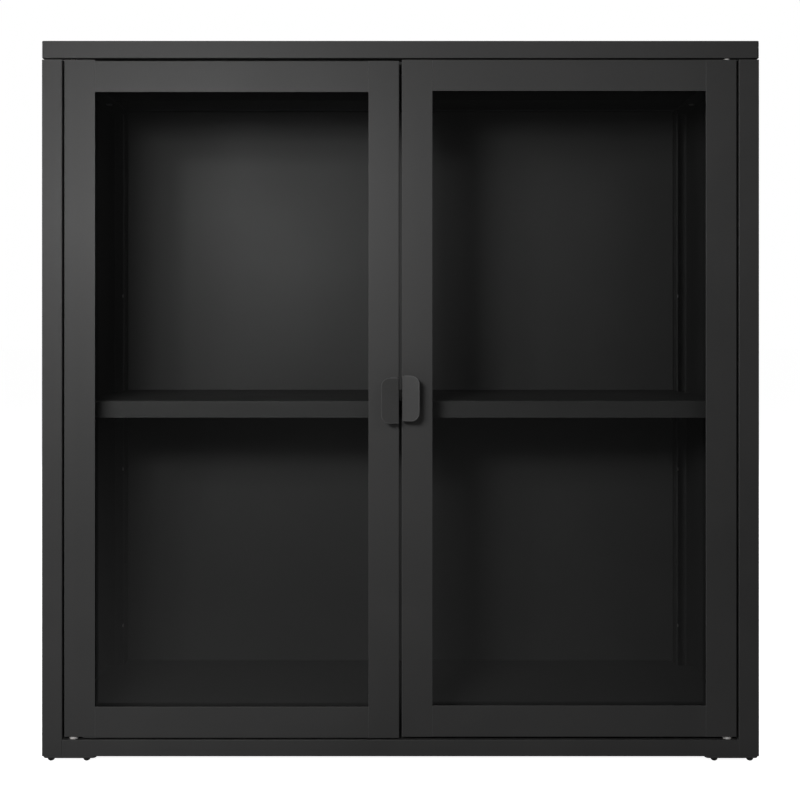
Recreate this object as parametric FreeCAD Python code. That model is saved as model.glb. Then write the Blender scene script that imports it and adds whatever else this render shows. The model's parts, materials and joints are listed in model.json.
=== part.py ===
"""Wall mounted showcase: a folded sheet steel cabinet with two framed glass doors and one shelf.

Everything is in millimetres. +X is to the right seen from the front, +Y points into the wall and +Z is up.
The origin is on the wall plane, midway between the two keyholes that the cabinet hangs from.
"""

import FreeCAD, Part

import math
import os

V = FreeCAD.Vector
X, Y, Z = V(1, 0, 0), V(0, 1, 0), V(0, 0, 1)
LEFT, RIGHT = -1, 1
SIDE_NAMES = {LEFT: "left", RIGHT: "right"}

# Whole cabinet
width = 700.0
depth = 270.0
height = 700.0
sheet = 1.0
bend = 0.8
keyhole_drop = 60.0

# Levels and planes that follow from them
front = -depth
top = keyhole_drop
foot = top - height
corner_plate_thick = 2.0
side_bottom = foot + corner_plate_thick

# Top panel
top_height = 16.9
top_front_lip = 36.0
top_lip = 20.0
top_corner_r = 2.2
ceiling = top - top_height
top_screw_y = (-60.0, -135.0, -210.0)

# Bottom panel
opening_height = 664.8
floor = ceiling - opening_height
bottom_side_lip = 34.0
bottom_lip = 20.0

# Side panels: folded trays, each as deep as its front flange is wide
side_outer = width / 2 - 0.2
flange = 19.8
side_inner = side_outer - flange
front_lip = 45.0
rear_lip = 30.0
seam = 0.1
post_slit_height = 1.5
post_slit_depth = 7.0

# Back panel, set in from the wall plane to leave room for the hanging screws
back_sheet = 0.8
back_front = -13.0
back_flange = 10.0
back_screw_y = -7.5
back_screw_z = (-180.0, -390.0, -580.0)

# Doors
door_side_gap = 2.1
door_centre_gap = 2.4
door_top_gap = 1.5
door_height = 660.5
door_thick = 16.0
stile_face = 30.0
rail_face = 30.5
frame_box = 18.0
frame_end_r = 0.5
butt_edge_r = 0.35
end_cap = 2.0
drain_r = 2.5
door_outer = side_inner - door_side_gap
door_inner = door_centre_gap / 2
door_back = front + door_thick
door_drop = {LEFT: 1.1, RIGHT: 0.0}
hinge_stile_rise = {LEFT: 1.1, RIGHT: 0.0}

# Door pivots
pivot_x = door_outer - 8.0
pivot_y = front + 6.0
pin_r = 2.0
pin_in_door = 8.0
pin_in_panel = 7.0
running = 0.05
bush_sleeve_r = 3.0
bush_flange_r = 4.6
bush_tail = 4.0
bush_top_flange = 1.5
bush_stand = {LEFT: -0.4, RIGHT: 1.4}

# Glazing
seal_thick = 1.0
seal_width = 9.0
seal_edge = 19.5
glass_thick = 4.0
glass_edge = 18.5
glass_back = front + sheet + seal_thick + glass_thick
clip_sheet = 1.2
clip_length = 14.0
clip_reach = 9.0
clip_depth = 8.0
clip_from_end = 90.0
clip_screw_r = 1.5
clip_screw_length = 5.0
clip_screw_y = glass_back + 4.8

# Handles
handle_sheet = 1.5
handle_width = 16.6
handle_height = 43.5
handle_corner_r = 8.0
handle_bend_r = 0.8
handle_stand = 15.0
handle_flare_deg = 14.0
handle_inset = 0.3
handle_foot = 14.0
handle_middle = -289.0
handle_offset = {LEFT: -1.1, RIGHT: 1.0}
handle_screw_spacing = 26.0
handle_screw_in = 9.0

# Shelf
shelf_top = -293.3
shelf_height = 17.0
shelf_half_width = side_inner - 2.5
shelf_front = front + 37.5
shelf_back = back_front - 1.0
shelf_lip = 14.0
shelf_bend = 1.5
shelf_bottom = shelf_top - shelf_height

# Shelf clips and the slots they hook into
slot_pitch = 45.0
slot_steps = range(-5, 6)
slot_width = 2.5
slot_above = 3.0
slot_below = 12.0
shelf_clip_sheet = 2.0
shelf_clip_reach = 12.0
shelf_clip_pad = 12.0
shelf_clip_hook = 4.0
shelf_clip_y = (shelf_front + 2.5, -22.0)

# Fasteners
m4_r = 2.0
m4_head_r = 3.5
m4_head = 1.4
m3_head_r = 2.7
m3_head = 1.2

# Corner plates under the cabinet
corner_plate = 52.0
corner_plate_inset = 0.5
plate_screw_x = (342.4, 307.5)
plate_screw_inset = 6.0
plate_screw_head = 4.0

# Wall hangers
hanger_sheet = 2.0
hanger_half_height = 28.0
hanger_edge_x = 281.0
hanger_screw_z = (-16.0, 16.0)
keyhole_x = 300.0
keyhole_r = 5.0
keyhole_slot_r = 2.6
keyhole_slot = 12.0

# Magnetic catch
catch_half_width = 23.0
catch_depth = 16.0
catch_height = 12.0
catch_ear = 8.0
catch_ear_thick = 3.0
catch_front = door_back + 0.3
magnet_x = (5.0, 17.0)
magnet_inset = 3.0
magnet_depth = 8.0
magnet_stand = 0.2

nodes = {}


def block(xa, xb, ya, yb, za, zb):
    """A box between two opposite corners, given in any order."""
    low = V(min(xa, xb), min(ya, yb), min(za, zb))
    return Part.makeBox(abs(xb - xa), abs(yb - ya), abs(zb - za), low)


def rod(x, y, z, axis, radius, length):
    """A cylinder that starts at a point and runs along an axis, backwards if the length is negative."""
    direction = axis if length > 0 else axis * -1
    return Part.makeCylinder(radius, abs(length), V(x, y, z), direction)


def near(value, target):
    return abs(value - target) < 0.01


def near_any(value, targets, reach=0.01):
    return any(abs(value - target) < reach for target in targets)


def runs_along(edge, axis):
    """True for a straight edge parallel to the axis."""
    if not isinstance(edge.Curve, Part.Line):
        return False
    return edge.Curve.Direction.cross(axis).Length < 1e-6


def rounded(shape, radius, axis=None, where=lambda middle: True):
    """The shape with edges rounded: those along an axis, if it is given, whose middles pass a test."""
    edges = shape.Edges
    if axis is not None:
        edges = [edge for edge in edges if runs_along(edge, axis)]
    return shape.makeFillet(radius, [edge for edge in edges if where(edge.CenterOfMass)])


def joined(*shapes):
    """One solid from solids that touch, with no seams left between level faces."""
    return shapes[0].fuse(list(shapes[1:])).removeSplitter()


def screw(radius, length, head_r, head_height):
    """A pan head screw with a cross recess. Its head sits on the XY plane and its shank points down."""
    head = Part.makeCylinder(head_r, head_height)
    head = rounded(head, head_height * 0.7, where=lambda middle: near(middle.z, head_height))
    whole = joined(head, Part.makeCylinder(radius, length, V(0, 0, -length)))
    arm, slot = head_r * 0.55, head_r * 0.13
    recess = head_height * 0.35
    for across, along in ((arm, slot), (slot, arm)):
        whole = whole.cut(block(-across, across, -along, along, recess, head_height + 1))
    return whole


def m4_screw(length):
    return screw(m4_r, length, m4_head_r, m4_head)


def placed(fastener, seat, points_to):
    """A copy of a screw with its head's seat at a point and its shank along a direction."""
    copy = fastener.copy()
    copy.Placement = FreeCAD.Placement(seat, FreeCAD.Rotation(Z * -1, points_to))
    return copy


def save(name, *shapes):
    """Keeps a sub-part under its node name. Several solids become one compound."""
    nodes[name] = shapes[0] if len(shapes) == 1 else Part.makeCompound(list(shapes))


def door_levels(side):
    """The top and bottom of a door's rails and meeting stile."""
    door_top = ceiling - door_top_gap - door_drop[side]
    return door_top, door_top - door_height


def hinge_stile_levels(side):
    door_top, door_bottom = door_levels(side)
    return door_top + hinge_stile_rise[side], door_bottom + hinge_stile_rise[side]


def top_screw_places(side):
    return [(side * (side_outer - flange / 2), y) for y in top_screw_y]


def plate_screw_places(side):
    """Where the screws go through the corner plates, as x and y."""
    rows = (
        front + corner_plate_inset + plate_screw_inset,
        front + corner_plate_inset + corner_plate - plate_screw_inset,
        -corner_plate_inset - corner_plate + plate_screw_inset,
        -corner_plate_inset - plate_screw_inset,
    )
    return [(side * x, y) for x in plate_screw_x for y in rows]


def catch_screw_places():
    x = catch_half_width + catch_ear / 2
    return [(side * x, catch_front + catch_depth / 2) for side in (LEFT, RIGHT)]


def make_top_panel():
    """A tray turned upside down, with lips folded in all round its underside."""
    half = width / 2
    shell = block(-half, half, front, 0, ceiling, top)
    shell = rounded(shell, top_corner_r, Z)
    shell = rounded(shell, bend, where=lambda middle: near(middle.z, top) or near(middle.z, ceiling))
    inside = block(sheet - half, half - sheet, front + sheet, -sheet, ceiling + sheet, top - sheet)
    inside = rounded(inside, top_corner_r - sheet, Z)
    mouth = block(top_lip - half, half - top_lip, front + top_front_lip, -top_lip, ceiling - 1, top - 5)
    holes = [rod(x, y, ceiling - 1, Z, m4_r, 3) for x, y in catch_screw_places()]
    for side in (LEFT, RIGHT):
        holes.append(rod(side * pivot_x, pivot_y, ceiling - 1, Z, bush_sleeve_r, 3))
        holes += [rod(x, y, ceiling - 1, Z, m4_r, 3) for x, y in top_screw_places(side)]
    save("top_panel", shell.cut([inside, mouth] + holes))


def make_bottom_panel():
    """A tray whose top is the floor inside. Ears fill it out to the side walls between the posts."""
    half = side_inner - seam
    shell = rounded(block(-half, half, front, 0, side_bottom, floor), bend, X)
    inside = block(sheet - half, half - sheet, front + sheet, -sheet, side_bottom + sheet, floor - sheet)
    lip_x = half - bottom_side_lip
    mouth = block(-lip_x, lip_x, front + bottom_lip, -bottom_lip, side_bottom - 1, floor - 5)
    shell = shell.cut([inside, mouth])
    holes = []
    for side in (LEFT, RIGHT):
        wall_x = side * (side_outer - sheet - 2 * seam)
        ear_y = (front + front_lip + 2 * seam, -rear_lip - sheet - 2 * seam)
        shell = joined(shell, block(side * half, wall_x, *ear_y, floor - sheet, floor))
        holes.append(rod(side * pivot_x, pivot_y, floor + 1, Z, bush_sleeve_r, -3))
        places = [place for place in plate_screw_places(side) if abs(place[0]) < half]
        holes += [rod(x, y, side_bottom - 1, Z, m4_r, 3) for x, y in places]
    save("bottom_panel", shell.cut(holes))


def make_side_panel(side):
    """A tray on edge: a wall, four flanges and slotted lips. Its front post stops short of the top panel."""
    outer, inner = side * side_outer, side * side_inner
    wall, lip = outer - side * sheet, inner + side * sheet
    shell = rounded(block(outer, inner, front, 0, side_bottom, ceiling), bend)
    inside = block(wall, lip, front + sheet, -sheet, side_bottom + sheet, ceiling - sheet)
    mouth_y = (front + front_lip, -rear_lip)
    mouth = block(lip, inner - side, *mouth_y, side_bottom + sheet, ceiling - sheet)
    slit_y = (front - 1, front + post_slit_depth)
    holes = [block(outer + side, inner - side, *slit_y, ceiling - post_slit_height, ceiling + 1)]
    for y in shelf_clip_y:
        for step in slot_steps:
            level = shelf_bottom + step * slot_pitch
            slot_y = (y - slot_width / 2, y + slot_width / 2)
            holes.append(block(lip + side, inner - side, *slot_y, level - slot_below, level + slot_above))
    places = [place for place in plate_screw_places(side) if abs(place[0]) > side_inner]
    holes += [rod(x, y, side_bottom - 1, Z, m4_r, 3) for x, y in places]
    holes += [rod(x, y, ceiling - 2, Z, m4_r, 3) for x, y in top_screw_places(side)]
    holes += [rod(inner - side, back_screw_y, z, X * side, m4_r, 4) for z in back_screw_z + hanger_screw_z]
    save(f"side_panel_{SIDE_NAMES[side]}", shell.cut([inside, mouth] + holes))


def make_back_panel():
    """A shallow tray that opens towards the wall, screwed to the rear lips of the side panels."""
    half = side_inner - seam
    low, high = floor + seam, ceiling - seam
    shell = block(-half, half, back_front, back_front + back_flange, low, high)
    shell = rounded(shell, back_sheet, where=lambda middle: near(middle.y, back_front))
    inner_x = half - back_sheet
    inside = block(-inner_x, inner_x, back_front + back_sheet, 0, low + back_sheet, high - back_sheet)
    holes, screws = [], []
    for side in (LEFT, RIGHT):
        for z in back_screw_z + hanger_screw_z:
            holes.append(rod(side * (half - 3), back_screw_y, z, X * side, m4_r, 5))
        seats = [V(side * inner_x, back_screw_y, z) for z in back_screw_z]
        screws += [placed(m4_screw(8.0), seat, X * side) for seat in seats]
    save("back_panel", shell.cut([inside] + holes))
    save("back_panel_screws", *screws)


def make_hangers():
    """Angle brackets behind the upper corners, each with a keyhole for a screw in the wall."""
    outer = side_inner - seam - back_sheet
    seat_x = outer - hanger_sheet
    high = hanger_half_height
    screws = []
    for side in (LEFT, RIGHT):
        wall_leg = block(side * outer, side * hanger_edge_x, -hanger_sheet, 0, -high, high)
        wall_leg = rounded(wall_leg, 4.0, Y, lambda middle: near(abs(middle.x), hanger_edge_x))
        side_leg = block(side * outer, side * seat_x, back_front + back_sheet + 1, 0, -high, high)
        x = side * keyhole_x
        entry = rod(x, 1, 0, Y, keyhole_r, -4)
        slot = block(x - keyhole_slot_r, x + keyhole_slot_r, 1, -3, 0, keyhole_slot)
        slot_end = rod(x, 1, keyhole_slot, Y, keyhole_slot_r, -4)
        holes = [rod(side * (seat_x - 1), back_screw_y, z, X * side, m4_r, 4) for z in hanger_screw_z]
        bracket = joined(wall_leg, side_leg).cut([entry, slot, slot_end] + holes)
        save(f"hanger_bracket_{SIDE_NAMES[side]}", bracket)
        seats = [V(side * seat_x, back_screw_y, z) for z in hanger_screw_z]
        screws += [placed(m4_screw(9.0), seat, X * side) for seat in seats]
    save("hanger_screws", *screws)


def make_corner_plates():
    """Plates that tie each side panel to the bottom panel. Their tall screw heads are the feet."""
    front_y = front + corner_plate_inset
    rows = {
        "front": (front_y, front_y + corner_plate),
        "rear": (-corner_plate_inset - corner_plate, -corner_plate_inset),
    }
    screws = []
    for side in (LEFT, RIGHT):
        outer = side * (side_outer - corner_plate_inset)
        places = plate_screw_places(side)
        holes = [rod(x, y, foot - 1, Z, m4_r, 4) for x, y in places]
        for row, row_y in rows.items():
            plate = block(outer, outer - side * corner_plate, *row_y, foot, side_bottom)
            plate = rounded(plate, 4.0, Z)
            plate = rounded(plate, 0.8, where=lambda middle: near(middle.z, foot))
            save(f"corner_plate_{row}_{SIDE_NAMES[side]}", plate.cut(holes))
        stud = screw(m4_r, 8.0, m4_head_r, plate_screw_head)
        screws += [placed(stud, V(x, y, foot), Z) for x, y in places]
    save("corner_plate_screws", *screws)


def make_top_screws():
    """Screws that hold the top panel to the side panels, driven up from inside."""
    places = top_screw_places(LEFT) + top_screw_places(RIGHT)
    save("top_panel_screws", *[placed(m4_screw(8.0), V(x, y, ceiling - sheet), Z) for x, y in places])


def make_bushes(side):
    """Nylon bushes that the door's pins turn in. The lower one carries the door on its flange."""
    x = side * pivot_x
    bore_r = pin_r + running
    carrier_top = hinge_stile_levels(side)[1] - running
    carrier = rod(x, pivot_y, floor, Z, bush_flange_r, carrier_top - floor)
    carrier = rounded(carrier, 0.4, where=lambda middle: near(middle.z, carrier_top))
    tail = sheet + bush_tail
    lower = joined(carrier, rod(x, pivot_y, floor - tail, Z, bush_sleeve_r, tail))
    save(f"bush_bottom_{SIDE_NAMES[side]}", lower.cut(rod(x, pivot_y, floor - 10, Z, bore_r, 20)))
    lip_top = ceiling + sheet
    sleeve_end = ceiling - bush_stand[side]
    sleeve = rod(x, pivot_y, sleeve_end, Z, bush_sleeve_r, lip_top - sleeve_end)
    upper = joined(sleeve, rod(x, pivot_y, lip_top, Z, bush_flange_r, bush_top_flange))
    save(f"bush_top_{SIDE_NAMES[side]}", upper.cut(rod(x, pivot_y, ceiling - 10, Z, bore_r, 20)))


def make_catch():
    """A double magnetic catch under the ceiling. Its magnets hold the tops of the meeting stiles."""
    low, back = ceiling - catch_height, catch_front + catch_depth
    body = block(-catch_half_width, catch_half_width, catch_front, back, low, ceiling)
    body = rounded(body, 1.5, Z)
    body = rounded(body, 0.8, where=lambda middle: near(middle.z, low))
    ear_x = catch_half_width + catch_ear
    ears = block(-ear_x, ear_x, catch_front + 3, back - 3, ceiling - catch_ear_thick, ceiling)
    cuts, magnets, screws = [], [], []
    for side in (LEFT, RIGHT):
        across = (side * magnet_x[0], side * magnet_x[1])
        levels = (low + magnet_inset, ceiling - magnet_inset)
        cuts.append(block(*across, catch_front - 1, catch_front + magnet_depth, *levels))
        face = catch_front - magnet_stand
        magnet = block(*across, face, catch_front + magnet_depth, *levels)
        magnets.append(rounded(magnet, 0.15, where=lambda middle: near(middle.y, face)))
    for x, y in catch_screw_places():
        cuts.append(rod(x, y, ceiling + 1, Z, m4_r, -8))
        screws.append(placed(m4_screw(8.0), V(x, y, ceiling - catch_ear_thick), Z))
    save("catch_housing", joined(body, rounded(ears, 3.0, Z)).cut(cuts))
    save("catch_magnets", *magnets)
    save("catch_screws", *screws)


def make_shelf():
    """A tray turned upside down, with lips folded in all round its underside."""
    half = shelf_half_width
    shell = block(-half, half, shelf_front, shelf_back, shelf_bottom, shelf_top)
    shell = rounded(shell, shelf_bend, where=lambda middle: near(middle.z, shelf_top))
    inside_y = (shelf_front + sheet, shelf_back - sheet)
    inside = block(sheet - half, half - sheet, *inside_y, shelf_bottom + sheet, shelf_top - sheet)
    lip_x = half - shelf_lip
    mouth_y = (shelf_front + shelf_lip, shelf_back - shelf_lip)
    mouth = block(-lip_x, lip_x, *mouth_y, shelf_bottom - 1, shelf_top - 5)
    save("shelf", shell.cut([inside, mouth]))


def make_shelf_clips():
    """Four clips: a blade that hooks through a slot of a post, and a pad on it that the shelf rests on."""
    pad_end = side_inner - shelf_clip_reach
    slot_floor = shelf_bottom - slot_below
    pad_low = shelf_bottom - shelf_clip_sheet
    hook_x = side_inner + sheet + seam
    outline = [
        (pad_end, pad_low),
        (pad_end, pad_low - 1.5),
        (side_inner - seam, slot_floor),
        (hook_x, slot_floor),
        (hook_x, slot_floor - shelf_clip_hook),
        (hook_x + shelf_clip_sheet, slot_floor - shelf_clip_hook),
        (hook_x + shelf_clip_sheet, pad_low),
    ]
    clips = []
    for side in (LEFT, RIGHT):
        for y in shelf_clip_y:
            corners = [V(side * x, y - shelf_clip_sheet / 2, z) for x, z in outline]
            blade = Part.Face(Part.makePolygon(corners + corners[:1])).extrude(Y * shelf_clip_sheet)
            pad_y = (y - shelf_clip_pad / 2, y + shelf_clip_pad / 2)
            pad = block(side * pad_end, side * (side_inner - seam), *pad_y, pad_low, shelf_bottom)
            pad = rounded(pad, 2.0, Z, lambda middle: near(abs(middle.x), pad_end))
            clips.append(joined(blade, pad))
    save("shelf_clips", *clips)


def clip_places(side):
    """Where a door's glass clips sit on its frame: x, z, and the direction from there to the glass."""
    door_top, door_bottom = door_levels(side)
    middle = (door_top + door_bottom) / 2
    levels = [level + clip_from_end for level in (door_bottom, middle)]
    levels += [level - clip_from_end for level in (middle, door_top)]
    places = []
    for x, inward in ((door_outer - frame_box, X * -side), (door_inner + frame_box, X * side)):
        places += [(side * x, z, inward) for z in levels]
    centre = side * (door_outer + door_inner) / 2
    places.append((centre, door_top - frame_box, Z * -1))
    places.append((centre, door_bottom + frame_box, Z))
    return places


def clip_holes(side):
    """The holes that the glass clips' screws need in the frame's tubes."""
    return [
        rod(x, clip_screw_y, z, inward * -1, clip_screw_r, clip_screw_length)
        for x, z, inward in clip_places(side)
    ]


def glass_clip():
    """An angle clip that sits on the YZ plane, whose leg along +X holds the glass."""
    half = clip_length / 2
    seat_leg = block(0, clip_sheet, glass_back, glass_back + clip_depth, -half, half)
    glass_leg = block(0, clip_reach, glass_back, glass_back + clip_sheet, -half, half)
    clip = rounded(joined(seat_leg, glass_leg), 2.0, Y, lambda middle: near(middle.x, clip_reach))
    return clip.cut(rod(-1, clip_screw_y, 0, X, clip_screw_r, 4))


def make_stile(side, edge, inward, levels):
    """An upright of a door frame: a closed tube behind a wider face that laps over the glass."""
    high, low = levels
    face_end = edge + inward * stile_face
    bar = joined(
        block(edge, edge + inward * frame_box, front + sheet, door_back, low, high),
        block(edge, face_end, front, front + sheet, low, high),
    )
    bar = rounded(bar, bend, Z, lambda middle: near(middle.x, edge))
    bar = rounded(bar, butt_edge_r, Z, lambda middle: near(middle.x, face_end) and near(middle.y, front))
    bar = rounded(bar, frame_end_r, X, lambda middle: near(middle.y, front) and near_any(middle.z, levels))
    across = (edge + inward * sheet, edge + inward * (frame_box - sheet))
    hollow = block(*across, front + 2 * sheet, door_back - sheet, low + end_cap, high - end_cap)
    return bar.cut([hollow] + clip_holes(side))


def make_rail(side, edge, inward):
    """A crossbar of a door frame: a tube between the stiles' tubes, and a face between their faces."""
    tube_x = (side * (door_outer - frame_box), side * (door_inner + frame_box))
    face_x = (side * (door_outer - stile_face), side * (door_inner + stile_face))
    face_end = edge + inward * rail_face
    bar = joined(
        block(*tube_x, front + sheet, door_back, edge, edge + inward * frame_box),
        block(*face_x, front, front + sheet, edge, face_end),
    )
    bar = rounded(bar, bend, X, lambda middle: near(middle.z, edge) and not near(middle.y, front + sheet))
    bar = rounded(bar, butt_edge_r, X, lambda middle: near(middle.z, face_end) and near(middle.y, front))
    levels = (edge + inward * sheet, edge + inward * (frame_box - sheet))
    hollow = block(*tube_x, front + 2 * sheet, door_back - sheet, *levels)
    return bar.cut([hollow] + clip_holes(side))


def make_glazing(side):
    """The pane, the foam seal strips between it and the frame's face, and the clips that press it there."""
    name = SIDE_NAMES[side]
    high, low = door_levels(side)
    outer, inner = side * door_outer, side * door_inner
    glass_x = (outer - side * glass_edge, inner + side * glass_edge)
    glass = block(*glass_x, glass_back - glass_thick, glass_back, low + glass_edge, high - glass_edge)
    save(f"door_glass_{name}", rounded(glass, 0.5))

    seal_y = (front + sheet, front + sheet + seal_thick)
    seal_x = (outer - side * seal_edge, inner + side * seal_edge)
    inner_x = (seal_x[0] - side * seal_width, seal_x[1] + side * seal_width)
    seal_z = (low + seal_edge, high - seal_edge)
    strips = [block(seal_x[end], inner_x[end], *seal_y, *seal_z) for end in (0, 1)]
    strips.append(block(*inner_x, *seal_y, seal_z[0], seal_z[0] + seal_width))
    strips.append(block(*inner_x, *seal_y, seal_z[1] - seal_width, seal_z[1]))
    save(f"glass_seal_{name}", *strips)

    clips, screws = [], []
    fastener = screw(clip_screw_r, clip_screw_length, m3_head_r, m3_head)
    for x, z, inward in clip_places(side):
        clip = glass_clip()
        turn = math.degrees(math.atan2(-inward.z, inward.x))
        clip.Placement = FreeCAD.Placement(V(x, 0, z), FreeCAD.Rotation(Y, turn))
        clips.append(clip)
        screws.append(placed(fastener, V(x, clip_screw_y, z) + inward * clip_sheet, inward * -1))
    save(f"glass_clips_{name}", *clips)
    save(f"glass_clip_screws_{name}", *screws)


def strip_outline(path, thick):
    """The closed outline of a bent strip: one face's points, then the other's, a thickness to their left."""
    directions = [(end - start).normalize() for start, end in zip(path, path[1:])]
    normals = [Z.cross(direction) for direction in directions]
    far_face = []
    for point, before, after in zip(path, normals[:1] + normals, normals + normals[-1:]):
        far_face.append(point + (before + after) * (thick / (1 + before.dot(after))))
    return path + far_face[::-1]


def make_handle(side):
    """A pull bent from one strip: a foot on the door, a web at the meeting edge and a flared tab."""
    edge = side * (door_inner + handle_inset)
    low = handle_middle + handle_offset[side] - handle_height / 2
    tab_y = front - handle_stand
    tab_end = tab_y - handle_width * math.tan(math.radians(handle_flare_deg))
    foot_end_x, tab_end_x = edge + side * handle_foot, edge + side * handle_width
    path = [V(foot_end_x, front, low), V(edge, front, low), V(edge, tab_y, low), V(tab_end_x, tab_end, low)]
    corners = strip_outline(path, handle_sheet * side)
    pull = Part.Face(Part.makePolygon(corners + corners[:1])).extrude(Z * handle_height)
    free_end = abs(foot_end_x) - 1
    ends = (low, low + handle_height)
    pull = rounded(
        pull, handle_corner_r, where=lambda middle: abs(middle.x) > free_end and near_any(middle.z, ends)
    )
    return rounded(pull, handle_bend_r, Z, lambda middle: near(middle.x, edge))


def make_pins(side):
    """The steel pins that the door turns on, pressed into the ends of the hinge stile."""
    high, low = hinge_stile_levels(side)
    x = side * pivot_x
    length = pin_in_door + pin_in_panel
    save(f"pivot_pin_top_{SIDE_NAMES[side]}", rod(x, pivot_y, high - pin_in_door, Z, pin_r, length))
    save(f"pivot_pin_bottom_{SIDE_NAMES[side]}", rod(x, pivot_y, low + pin_in_door, Z, pin_r, -length))


def make_door(side):
    """A frame of two stiles and two rails, with its glazing, its handle and the pins it turns on."""
    name = SIDE_NAMES[side]
    levels = door_levels(side)
    hinge_levels = hinge_stile_levels(side)
    pin_holes = [rod(side * pivot_x, pivot_y, level - 5, Z, pin_r, 10) for level in hinge_levels]
    hinge_stile = make_stile(side, side * door_outer, -side, hinge_levels)
    save(f"hinge_stile_{name}", hinge_stile.cut(pin_holes))

    middle = handle_middle + handle_offset[side]
    screw_x = side * (door_inner + handle_screw_in)
    screw_z = (middle - handle_screw_spacing / 2, middle + handle_screw_spacing / 2)
    length = door_thick + handle_sheet
    holes = [rod(screw_x, door_back + 1, z, Y, m4_r, -length - 1) for z in screw_z]
    drain = rod(screw_x, (front + door_back) / 2, levels[1] - 1, Z, drain_r, end_cap + 2)
    meeting_stile = make_stile(side, side * door_inner, side, levels)
    save(f"meeting_stile_{name}", meeting_stile.cut(holes + [drain]))
    save(f"top_rail_{name}", make_rail(side, levels[0], -1))
    save(f"bottom_rail_{name}", make_rail(side, levels[1], 1))
    save(f"handle_{name}", make_handle(side).cut(holes))
    seats = [V(screw_x, door_back, z) for z in screw_z]
    save(f"handle_screws_{name}", *[placed(m4_screw(length), seat, Y * -1) for seat in seats])
    make_glazing(side)
    make_pins(side)


def export():
    os.makedirs("parts", exist_ok=True)
    for name, shape in nodes.items():
        shape.exportStep(os.path.join("parts", f"{name}.step"))


make_top_panel()
make_bottom_panel()
make_back_panel()
make_hangers()
make_corner_plates()
make_top_screws()
make_catch()
make_shelf()
make_shelf_clips()
for cabinet_side in (LEFT, RIGHT):
    make_side_panel(cabinet_side)
    make_bushes(cabinet_side)
    make_door(cabinet_side)
export()
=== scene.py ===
"""Looks for the wall mounted showcase: materials, camera, floor and studio light.

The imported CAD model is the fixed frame. Lengths are in metres, X is to the right and Z is up.
"""

import json
import math

import bpy
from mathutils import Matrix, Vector


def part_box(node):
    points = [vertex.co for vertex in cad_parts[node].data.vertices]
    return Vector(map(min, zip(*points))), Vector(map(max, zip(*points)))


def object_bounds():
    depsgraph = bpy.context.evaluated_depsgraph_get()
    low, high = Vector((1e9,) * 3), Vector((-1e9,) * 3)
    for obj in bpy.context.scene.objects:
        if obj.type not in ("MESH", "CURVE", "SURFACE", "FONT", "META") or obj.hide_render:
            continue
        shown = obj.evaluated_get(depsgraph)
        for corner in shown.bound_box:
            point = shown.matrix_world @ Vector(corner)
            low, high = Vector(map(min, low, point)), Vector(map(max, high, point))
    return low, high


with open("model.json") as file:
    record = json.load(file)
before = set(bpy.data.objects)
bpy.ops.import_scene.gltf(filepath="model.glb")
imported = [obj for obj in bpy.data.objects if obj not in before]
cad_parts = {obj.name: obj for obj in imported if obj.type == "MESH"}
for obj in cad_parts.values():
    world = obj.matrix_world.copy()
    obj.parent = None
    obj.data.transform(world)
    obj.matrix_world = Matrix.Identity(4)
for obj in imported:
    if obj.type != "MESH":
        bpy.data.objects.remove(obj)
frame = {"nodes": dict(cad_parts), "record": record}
cad_low, cad_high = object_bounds()

MM = 0.001
TOP_LOW, TOP_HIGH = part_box("top_panel")
CABINET_FRONT = TOP_LOW.y
CABINET_TOP = TOP_HIGH.z
CABINET_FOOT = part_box("corner_plate_front_left")[0].z


# ------------------------------------------------------------------------------------------
# Node helpers

# How far apart the rounded and the true normal are, as a cosine, where an edge begins and is full.
COSINE_ON_FLAT = 0.995
COSINE_ON_EDGE = 0.80

# The upward part of a face's normal where dust begins to settle, and where it lies in full.
SLOPE_WITHOUT_DUST = 0.6
SLOPE_WITH_DUST = 0.95


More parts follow.
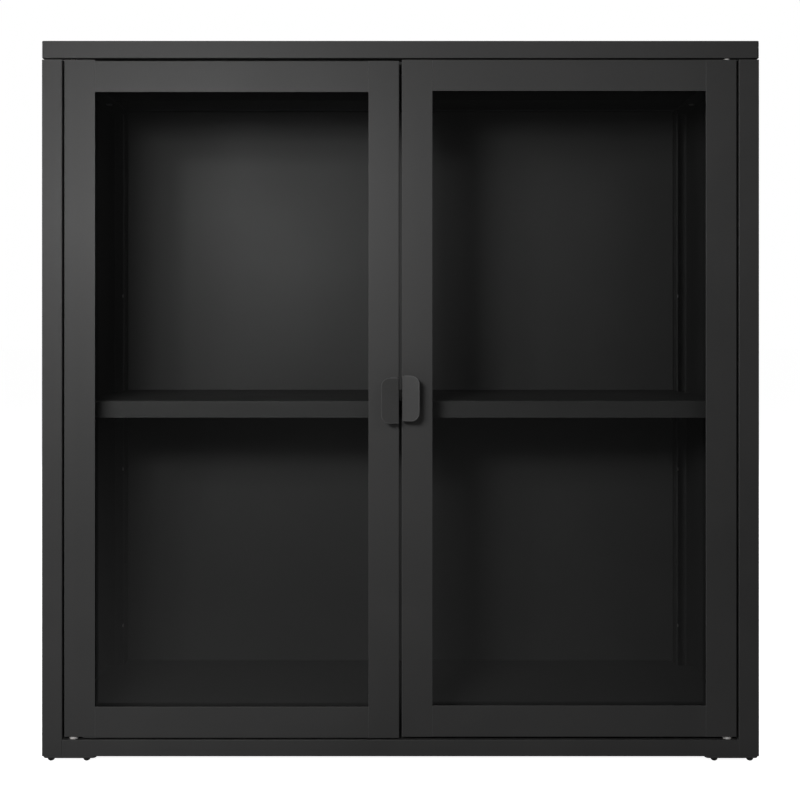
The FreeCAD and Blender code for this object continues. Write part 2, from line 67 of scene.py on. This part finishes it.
class Graph:
    """A material's node tree, with short calls to add and link nodes."""

    def __init__(self, name):
        self.material = bpy.data.materials.new(name)
        self.material.use_nodes = True
        self.nodes = self.material.node_tree.nodes
        self.links = self.material.node_tree.links
        self.nodes.clear()
        self.out = self.nodes.new("ShaderNodeOutputMaterial")
        self.coords = self.nodes.new("ShaderNodeTexCoord").outputs["Object"]

    def node(self, kind, settings=None, **inputs):
        """Adds a node. Each input is a value or another node's output, named with _ for spaces."""
        made = self.nodes.new("ShaderNode" + kind)
        for key, value in (settings or {}).items():
            setattr(made, key, value)
        for key, value in inputs.items():
            self.feed(made.inputs[key.replace("_", " ")], value)
        return made

    def feed(self, socket, value):
        """Links another node's output to an input, or sets the input to a plain value."""
        if isinstance(value, bpy.types.NodeSocket):
            self.links.new(value, socket)
        else:
            socket.default_value = value

    def noise(self, scale, detail=2.0, roughness=0.5, distortion=0.0):
        """Noise in the object's own metres: scale is features per metre."""
        made = self.node(
            "TexNoise", Scale=scale, Detail=detail, Roughness=roughness, Distortion=distortion
        )
        self.links.new(self.coords, made.inputs["Vector"])
        return made.outputs["Fac"]

    def spread(self, value, low, high, to_low=0.0, to_high=1.0):
        """Maps a value from one range to another, held at both ends."""
        made = self.node("MapRange", From_Min=low, From_Max=high, To_Min=to_low, To_Max=to_high)
        self.feed(made.inputs["Value"], value)
        return made.outputs["Result"]

    def math(self, operation, first, second):
        """One sum or product of two values."""
        made = self.nodes.new("ShaderNodeMath")
        made.operation = operation
        self.feed(made.inputs[0], first)
        self.feed(made.inputs[1], second)
        return made.outputs["Value"]

    def mix(self, share, first, second):
        """A colour between two colours."""
        made = self.node("Mix", {"data_type": "RGBA"})
        self.feed(made.inputs["Factor"], share)
        self.feed(made.inputs[6], first)
        self.feed(made.inputs[7], second)
        return made.outputs[2]

    def bump(self, height, distance, strength=1.0, normal=None):
        """A normal bent by a height pattern, on top of another bump if one is given."""
        made = self.node("Bump", Strength=strength, Distance=distance, Height=height)
        if normal is not None:
            self.links.new(normal, made.inputs["Normal"])
        return made.outputs["Normal"]

    def edges(self, radius):
        """1 on sharp edges and 0 on flat faces: how far a rounded normal leaves the true one."""
        bevel = self.node("Bevel", {"samples": 6}, Radius=radius).outputs["Normal"]
        true_normal = self.node("NewGeometry").outputs["Normal"]
        dot = self.node("VectorMath", {"operation": "DOT_PRODUCT"})
        self.links.new(bevel, dot.inputs[0])
        self.links.new(true_normal, dot.inputs[1])
        return self.spread(dot.outputs["Value"], COSINE_ON_FLAT, COSINE_ON_EDGE)

    def facing_up(self):
        """1 on faces that look up, where dust settles."""
        normal = self.node("NewGeometry").outputs["Normal"]
        split = self.node("SeparateXYZ", Vector=normal)
        return self.spread(split.outputs["Z"], SLOPE_WITHOUT_DUST, SLOPE_WITH_DUST)

    def finish(self, shader):
        """Ends the tree with its surface shader and gives the material."""
        self.links.new(shader, self.out.inputs["Surface"])
        return self.material


def grey(value, warmth=0.0):
    """A colour of one brightness, a little warmer or cooler than neutral."""
    return (value * (1 + warmth), value, value * (1 - warmth), 1.0)


# ------------------------------------------------------------------------------------------
# Materials

# Features per metre in the powder coat: its pebbles, the ripple under them, gloss patches and dust.
PEBBLES = 1500
RIPPLES = 160
GLOSS_PATCHES = 9
DUST_SPOTS = 40

# The powder coat's painted edge highlight and its dust: how much of each colour comes through.
EDGE_HIGHLIGHT_SHADE = 3.2
EDGE_HIGHLIGHT_SHARE = 0.85
DUST_SHADE = 0.22
DUST_SHARE = 0.10

# The small parts' edges show as worn or rubbed within this distance.
SMALL_PART_RIM = 0.4 * MM


def powder_coat(name, shade, rough, grain=1.0, rim=0.7):
    """Fine-texture black powder coat: pebbled, with uneven gloss, painted highlights on the edges
    and dust on top.

    The shade is its base brightness, grain the pebbles' height and rim the width in mm of the
    edges, which get a painted highlight and more gloss.
    """
    g = Graph(name)
    pebbles = g.noise(PEBBLES, detail=3.0, roughness=0.55)
    ripple = g.noise(RIPPLES, detail=2.0)
    patches = g.noise(GLOSS_PATCHES, detail=4.0, roughness=0.6, distortion=0.4)
    edge = g.edges(rim * MM)
    dust_spots = g.spread(g.noise(DUST_SPOTS, detail=6.0, roughness=0.65), 0.35, 0.75)
    dust = g.math("MULTIPLY", g.facing_up(), dust_spots)

    speckle = g.spread(pebbles, 0.35, 0.72)
    colour = g.mix(speckle, grey(shade * 0.80), grey(shade * 1.25, 0.01))
    colour = g.mix(g.spread(patches, 0.35, 0.70), colour, grey(shade * 1.12, 0.01))
    # Painted highlight: the edges are lightened to a paler grey, standing in for the light their
    # rounded fillets catch.
    colour = g.mix(g.math("MULTIPLY", edge, EDGE_HIGHLIGHT_SHARE), colour, grey(shade * EDGE_HIGHLIGHT_SHADE))
    colour = g.mix(g.math("MULTIPLY", dust, DUST_SHARE), colour, grey(DUST_SHADE, 0.03))

    gloss = g.spread(patches, 0.3, 0.7, rough - 0.05, rough + 0.05)
    gloss = g.math("ADD", gloss, g.spread(speckle, 0.0, 1.0, -0.04, 0.05))
    gloss = g.math("ADD", gloss, g.math("MULTIPLY", edge, -0.20))
    gloss = g.math("ADD", gloss, g.math("MULTIPLY", dust, 0.10))

    normal = g.bump(ripple, 0.02 * MM, 0.6)
    normal = g.bump(pebbles, 0.05 * MM * grain, 0.8, normal)
    shader = g.node(
        "BsdfPrincipled", Base_Color=colour, Roughness=gloss, IOR=1.5, Specular_IOR_Level=0.28,
        Normal=normal, Coat_Weight=0.16, Coat_Roughness=0.36, Coat_IOR=1.5,
    )
    return g.finish(shader.outputs["BSDF"])


def clear_glass(name):
    """Float glass: light goes straight through. It mirrors more at a glance and is smeared."""
    g = Graph(name)
    smears = g.noise(14, detail=5.0, roughness=0.7, distortion=1.6)
    specks = g.spread(g.noise(420, detail=2.0), 0.70, 0.78)
    smear_haze = g.spread(smears, 0.45, 0.80, 0.0, 0.004)
    haze = g.math("ADD", smear_haze, g.math("MULTIPLY", specks, 0.006))
    tint = g.node("BsdfTransparent", Color=(0.960, 0.964, 0.962, 1.0)).outputs["BSDF"]
    film = g.node("BsdfDiffuse", Color=grey(0.7, 0.02)).outputs["BSDF"]
    pane = g.nodes.new("ShaderNodeMixShader")
    g.feed(pane.inputs[0], haze)
    g.links.new(tint, pane.inputs[1])
    g.links.new(film, pane.inputs[2])
    shine_rough = g.spread(smears, 0.4, 0.8, 0.01, 0.06)
    wave = g.bump(g.noise(6, detail=1.0), 0.3 * MM, 0.15)
    mirror = g.node("BsdfGlossy", Color=grey(1.0), Roughness=shine_rough, Normal=wave)
    facing = g.node("Fresnel", IOR=1.45).outputs["Fac"]
    whole = g.nodes.new("ShaderNodeMixShader")
    g.links.new(facing, whole.inputs[0])
    g.links.new(pane.outputs[0], whole.inputs[1])
    g.links.new(mirror.outputs["BSDF"], whole.inputs[2])
    return g.finish(whole.outputs[0])


def zinc(name):
    """Bright zinc plate: fine spangle, a faint blue and yellow cast and duller, scuffed edges."""
    g = Graph(name)
    spangle = g.noise(700, detail=3.0, roughness=0.6)
    clouds = g.noise(60, detail=3.0)
    edge = g.edges(SMALL_PART_RIM)
    colour = g.mix(g.spread(clouds, 0.35, 0.65), (0.60, 0.61, 0.64, 1.0), (0.66, 0.64, 0.58, 1.0))
    colour = g.mix(g.math("MULTIPLY", edge, 0.5), colour, grey(0.42))
    gloss = g.math("ADD", g.spread(spangle, 0.3, 0.7, 0.24, 0.40), g.math("MULTIPLY", edge, 0.12))
    normal = g.bump(spangle, 0.02 * MM, 0.5)
    shader = g.node(
        "BsdfPrincipled", Base_Color=colour, Roughness=gloss, Metallic=1.0, Normal=normal
    )
    return g.finish(shader.outputs["BSDF"])


def nylon(name):
    """Turned white nylon: fine tool rings, a waxy sheen, a little grime and paler rims."""
    g = Graph(name)
    rings = g.node("TexWave", {"bands_direction": "Z"}, Scale=900.0, Distortion=0.4)
    g.links.new(g.coords, rings.inputs["Vector"])
    grime = g.noise(500, detail=4.0)
    edge = g.edges(SMALL_PART_RIM)
    colour = g.mix(g.spread(grime, 0.4, 0.8, 0.0, 0.35), grey(0.80, 0.02), grey(0.62, 0.06))
    colour = g.mix(g.math("MULTIPLY", edge, 0.25), colour, grey(0.9, 0.01))
    gloss = g.spread(grime, 0.3, 0.7, 0.38, 0.55)
    normal = g.bump(rings.outputs["Fac"], 0.02 * MM, 0.4)
    shader = g.node(
        "BsdfPrincipled", Base_Color=colour, Roughness=gloss, Normal=normal,
        Subsurface_Weight=0.15, Subsurface_Scale=1.0 * MM, Subsurface_Radius=(1.0, 0.9, 0.8),
    )
    return g.finish(shader.outputs["BSDF"])


def moulded_plastic(name, shade):
    """Moulded black plastic with a spark-eroded texture and rubbed corners."""
    g = Graph(name)
    texture = g.noise(2200, detail=2.0)
    edge = g.edges(SMALL_PART_RIM)
    colour = g.mix(g.spread(g.noise(80), 0.3, 0.7), grey(shade * 0.9), grey(shade * 1.15))
    colour = g.mix(g.math("MULTIPLY", edge, 0.6), colour, grey(shade * 2.2))
    gloss = g.math("ADD", g.spread(texture, 0.3, 0.7, 0.46, 0.58), g.math("MULTIPLY", edge, -0.12))
    normal = g.bump(texture, 0.03 * MM, 0.6)
    shader = g.node("BsdfPrincipled", Base_Color=colour, Roughness=gloss, Normal=normal)
    return g.finish(shader.outputs["BSDF"])


def ground_steel(name):
    """Ground magnet pole faces: straight grinding marks along X and dark spots."""
    g = Graph(name)
    stretch = g.node("Mapping", Scale=(60.0, 2500.0, 2500.0))
    g.links.new(g.coords, stretch.inputs["Vector"])
    grinding = g.node("TexNoise", Scale=1.0, Detail=3.0, Vector=stretch.outputs["Vector"])
    marks = grinding.outputs["Fac"]
    spots = g.spread(g.noise(900, detail=3.0), 0.60, 0.75)
    colour = g.mix(spots, grey(0.45), grey(0.22, 0.04))
    gloss = g.spread(marks, 0.3, 0.7, 0.28, 0.48)
    normal = g.bump(marks, 0.01 * MM)
    shader = g.node(
        "BsdfPrincipled", Base_Color=colour, Roughness=gloss, Metallic=1.0, Normal=normal
    )
    return g.finish(shader.outputs["BSDF"])


def foam(name):
    """Closed cell foam strip: soft black with open pores where it was cut."""
    g = Graph(name)
    cells = g.node("TexVoronoi", Scale=2600.0)
    g.links.new(g.coords, cells.inputs["Vector"])
    pores = g.spread(cells.outputs["Distance"], 0.0, 0.6)
    colour = g.mix(pores, grey(0.010), grey(0.030))
    normal = g.bump(pores, 0.1 * MM, 0.8)
    shader = g.node("BsdfPrincipled", Base_Color=colour, Roughness=0.9, Normal=normal)
    return g.finish(shader.outputs["BSDF"])


def black_oxide(name):
    """Blackened screws and pins: a satin oiled skin, worn bright here and there on the edges."""
    g = Graph(name)
    skin = g.noise(900, detail=3.0)
    edge = g.edges(0.35 * MM)
    worn = g.math("MULTIPLY", edge, g.spread(g.noise(350, detail=3.0), 0.45, 0.7))
    colour = g.mix(g.spread(skin, 0.3, 0.7), grey(0.018), grey(0.034, 0.03))
    colour = g.mix(worn, colour, grey(0.30))
    gloss = g.spread(skin, 0.3, 0.7, 0.34, 0.50)
    normal = g.bump(skin, 0.02 * MM, 0.5)
    shader = g.node(
        "BsdfPrincipled", Base_Color=colour, Roughness=gloss, Metallic=0.6, Normal=normal
    )
    return g.finish(shader.outputs["BSDF"])


def matt_floor(name):
    """Pale seamless paper, a little uneven, and lit up to the white of the background."""
    g = Graph(name)
    fibre = g.noise(300, detail=4.0)
    colour = g.mix(g.spread(fibre, 0.3, 0.7), grey(0.84), grey(0.88))
    normal = g.bump(fibre, 0.05 * MM, 0.3)
    shader = g.node(
        "BsdfPrincipled", Base_Color=colour, Roughness=0.9, Normal=normal,
        Emission_Color=grey(1.0), Emission_Strength=0.95,
    )
    return g.finish(shader.outputs["BSDF"])


MATERIALS = {
    "black_powder_coat": powder_coat("black_powder_coat_finish", 0.046, 0.56),
    # The handles get a lighter copy of the black coat: its raised base brightness paints in the
    # light the handle tabs catch, and its painted edge highlight runs wider.
    "handle_powder_coat": powder_coat("handle_powder_coat_painted_light", 0.056, 0.52, grain=0.7, rim=1.1),
    "clear_glass": clear_glass("clear_glass_finish"),
    "seal_foam": foam("seal_foam_finish"),
    "white_nylon": nylon("white_nylon_finish"),
    "catch_plastic": moulded_plastic("catch_plastic_finish", 0.03),
    "magnet_steel": ground_steel("magnet_steel_finish"),
    "zinc_plated_steel": zinc("zinc_plated_steel_finish"),
    "black_steel": black_oxide("black_steel_finish"),
}


def dress_cad_nodes():
    """Gives every CAD node the material of its slot in the record."""
    slots = {part["node"]: part["material_slot"] for part in frame["record"]["subparts"]}
    for name, node in frame["nodes"].items():
        node.data.materials.clear()
        node.data.materials.append(MATERIALS[slots[name]])


# ------------------------------------------------------------------------------------------
# Studio

FLOOR_HALF_WIDTH = 30.0

# The front lights stand this far in front of the cabinet and face straight back.
FRONT_LIGHT_DISTANCE = 0.88

# Each row: name, x, z, width, height, watts, how wide the beam spreads in degrees.
FRONT_LIGHTS = (
    ("key", -0.24, -0.02, 0.16, 0.10, 1.50, 180.0),
    ("key_wide", -0.31, 0.03, 0.30, 0.20, 1.20, 180.0),
    ("key_low", -0.22, -0.05, 0.24, 0.14, 0.85, 180.0),
    ("key_high", -0.41, 0.09, 0.08, 0.08, 0.80, 180.0),
    ("left_grid", -0.55, -0.05, 0.15, 0.15, 0.17, 60.0),
    ("left_spot", -0.37, 0.06, 0.12, 0.12, 0.04, 40.0),
    ("right_fill", 0.35, 0.10, 0.30, 0.30, 0.52, 180.0),
)

# The middle of the cabinet, which the side, rear and top lights face.
MIDDLE = (0.0, CABINET_FRONT / 2, (CABINET_TOP + CABINET_FOOT) / 2)

# Each row: name, place, (width, height), watts, the point it faces. The panes skip these as well.
LOW_AND_SIDE_LIGHTS = (
    ("table_left", (-0.30, -0.55, -0.655), (0.5, 0.5), 0.16, (-0.30, -0.55, 1.0)),
    ("table_right", (0.25, -0.55, -0.655), (0.5, 0.5), 0.07, (0.25, -0.55, 1.0)),
    ("left_card", (-0.65, -0.60, -0.45), (0.4, 0.5), 0.30, (0.1, -0.27, -0.45)),
    ("left_rim_box", (-2.2, -0.25, -0.2), (1.2, 1.6), 24.0, MIDDLE),
)

# The same for the lights that the panes do take.
REAR_AND_TOP_LIGHTS = (
    ("left_rear_box", (-1.7, 1.3, 0.5), (1.0, 1.4), 12.0, MIDDLE),
    ("right_rear_box", (1.7, 1.3, 0.5), (1.0, 1.4), 20.0, MIDDLE),
    ("overhead_box", (0.0, -0.2, 1.7), (1.2, 0.6), 8.0, MIDDLE),
)

# What the object gets from the room, by direction: its strength in front and behind.
ROOM_IN_FRONT = 0.045
ROOM_BEHIND = 0.07

# A glow low in the room, which the panes mirror: its strength on the left and on the right,
# and how far below the horizon it is full and has gone.
GLOW_LEFT = 0.21
GLOW_RIGHT = 0.10
GLOW_FULL = -0.34
GLOW_GONE = -0.06

FOCAL_LENGTH_MM = 49.2
SENSOR_WIDTH_MM = 36.0
LENS_SHIFT = (-0.0006, -0.0825)
CAMERA_DISTANCE = 1.066
CAMERA_ABOVE_FOOT = 0.414


def make_floor():
    """A wide pale floor under the screw heads. It takes shadows and sends no light back."""
    half = FLOOR_HALF_WIDTH
    level = cad_low.z
    corners = [
        (-half, -half, level),
        (half, -half, level),
        (half, half, level),
        (-half, half, level),
    ]
    mesh = bpy.data.meshes.new("floor")
    mesh.from_pydata(corners, [], [(0, 1, 2, 3)])
    floor = bpy.data.objects.new("floor", mesh)
    bpy.context.scene.collection.objects.link(floor)
    mesh.materials.append(matt_floor("pale_floor"))
    floor.visible_glossy = False
    floor.visible_diffuse = False


def soft_box(name, place, size, power, target=None, spread_deg=180.0, panes=None):
    """A soft box that faces a point, or straight back along +Y. The camera doesn't see it."""
    data = bpy.data.lights.new(name, "AREA")
    data.shape = "RECTANGLE"
    data.size, data.size_y = size
    data.energy = power
    data.spread = math.radians(spread_deg)
    light = bpy.data.objects.new(name, data)
    bpy.context.scene.collection.objects.link(light)
    light.location = place
    aim = Vector(target) - Vector(place) if target else Vector((0.0, 1.0, 0.0))
    light.rotation_mode = "QUATERNION"
    light.rotation_quaternion = aim.to_track_quat("-Z", "Y")
    light.visible_camera = False
    if panes:
        light.light_linking.receiver_collection = panes


def glass_left_out():
    """The panes as a set that a light skips, as a polarising filter would take out its glare."""
    panes = bpy.data.collections.new("panes_without_glare")
    for side in ("left", "right"):
        panes.objects.link(frame["nodes"][f"door_glass_{side}"])
    for member in panes.collection_objects:
        member.light_linking.link_state = "EXCLUDE"
    return panes


def make_lights():
    """Small soft boxes from the upper left as the key, weak fills, and boxes for all the rest."""
    panes = glass_left_out()
    front_y = CABINET_FRONT - FRONT_LIGHT_DISTANCE
    for name, x, z, width, height, watts, spread_deg in FRONT_LIGHTS:
        soft_box(name, (x, front_y, z), (width, height), watts, spread_deg=spread_deg, panes=panes)
    for name, place, size, watts, target in LOW_AND_SIDE_LIGHTS:
        soft_box(name, place, size, watts, target, panes=panes)
    for name, place, size, watts, target in REAR_AND_TOP_LIGHTS:
        soft_box(name, place, size, watts, target)


def make_world():
    """White to the camera. The object gets a dim room, paler behind, with a glow low down."""
    world = bpy.data.worlds.new("studio")
    bpy.context.scene.world = world
    world.use_nodes = True
    nodes, links = world.node_tree.nodes, world.node_tree.links
    nodes.clear()
    direction = nodes.new("ShaderNodeTexCoord")
    split = nodes.new("ShaderNodeSeparateXYZ")
    links.new(direction.outputs["Generated"], split.inputs["Vector"])

    def ramp(axis, start, end, value_at_start, value_at_end):
        """A value that changes evenly with one part of the direction, held at both ends."""
        made = nodes.new("ShaderNodeMapRange")
        made.inputs["From Min"].default_value = start
        made.inputs["From Max"].default_value = end
        made.inputs["To Min"].default_value = value_at_start
        made.inputs["To Max"].default_value = value_at_end
        links.new(split.outputs[axis], made.inputs["Value"])
        return made.outputs["Result"]

    def combine(operation, first, second):
        """One sum or product of two nodes' outputs."""
        made = nodes.new("ShaderNodeMath")
        made.operation = operation
        links.new(first, made.inputs[0])
        links.new(second, made.inputs[1])
        return made.outputs["Value"]

    low_down = ramp("Z", GLOW_FULL, GLOW_GONE, 1.0, 0.0)
    glow = combine("MULTIPLY", low_down, ramp("X", -0.25, 0.25, GLOW_LEFT, GLOW_RIGHT))
    strength = combine("ADD", ramp("Y", -1.0, 0.2, ROOM_IN_FRONT, ROOM_BEHIND), glow)
    fill = nodes.new("ShaderNodeBackground")
    links.new(strength, fill.inputs["Strength"])
    seen = nodes.new("ShaderNodeBackground")
    seen.inputs["Color"].default_value = grey(1.0)
    rays = nodes.new("ShaderNodeLightPath")
    choice = nodes.new("ShaderNodeMixShader")
    links.new(rays.outputs["Is Camera Ray"], choice.inputs[0])
    links.new(fill.outputs[0], choice.inputs[1])
    links.new(seen.outputs[0], choice.inputs[2])
    out = nodes.new("ShaderNodeOutputWorld")
    links.new(choice.outputs[0], out.inputs["Surface"])


def make_camera():
    """A level camera in front. Its lens is shifted, so the cabinet's uprights stay parallel."""
    data = bpy.data.cameras.new("camera")
    data.sensor_width = SENSOR_WIDTH_MM
    data.lens = FOCAL_LENGTH_MM
    data.shift_x, data.shift_y = LENS_SHIFT
    data.clip_start, data.clip_end = 0.05, 100.0
    camera = bpy.data.objects.new("camera", data)
    bpy.context.scene.collection.objects.link(camera)
    camera.location = (0.0, CABINET_FRONT - CAMERA_DISTANCE, CABINET_FOOT + CAMERA_ABOVE_FOOT)
    camera.rotation_euler = (math.radians(90), 0.0, 0.0)
    bpy.context.scene.camera = camera


dress_cad_nodes()
make_floor()
make_lights()
make_world()
make_camera()

scene = bpy.context.scene
scene.view_settings.view_transform = "Standard"
scene.view_settings.look = "None"
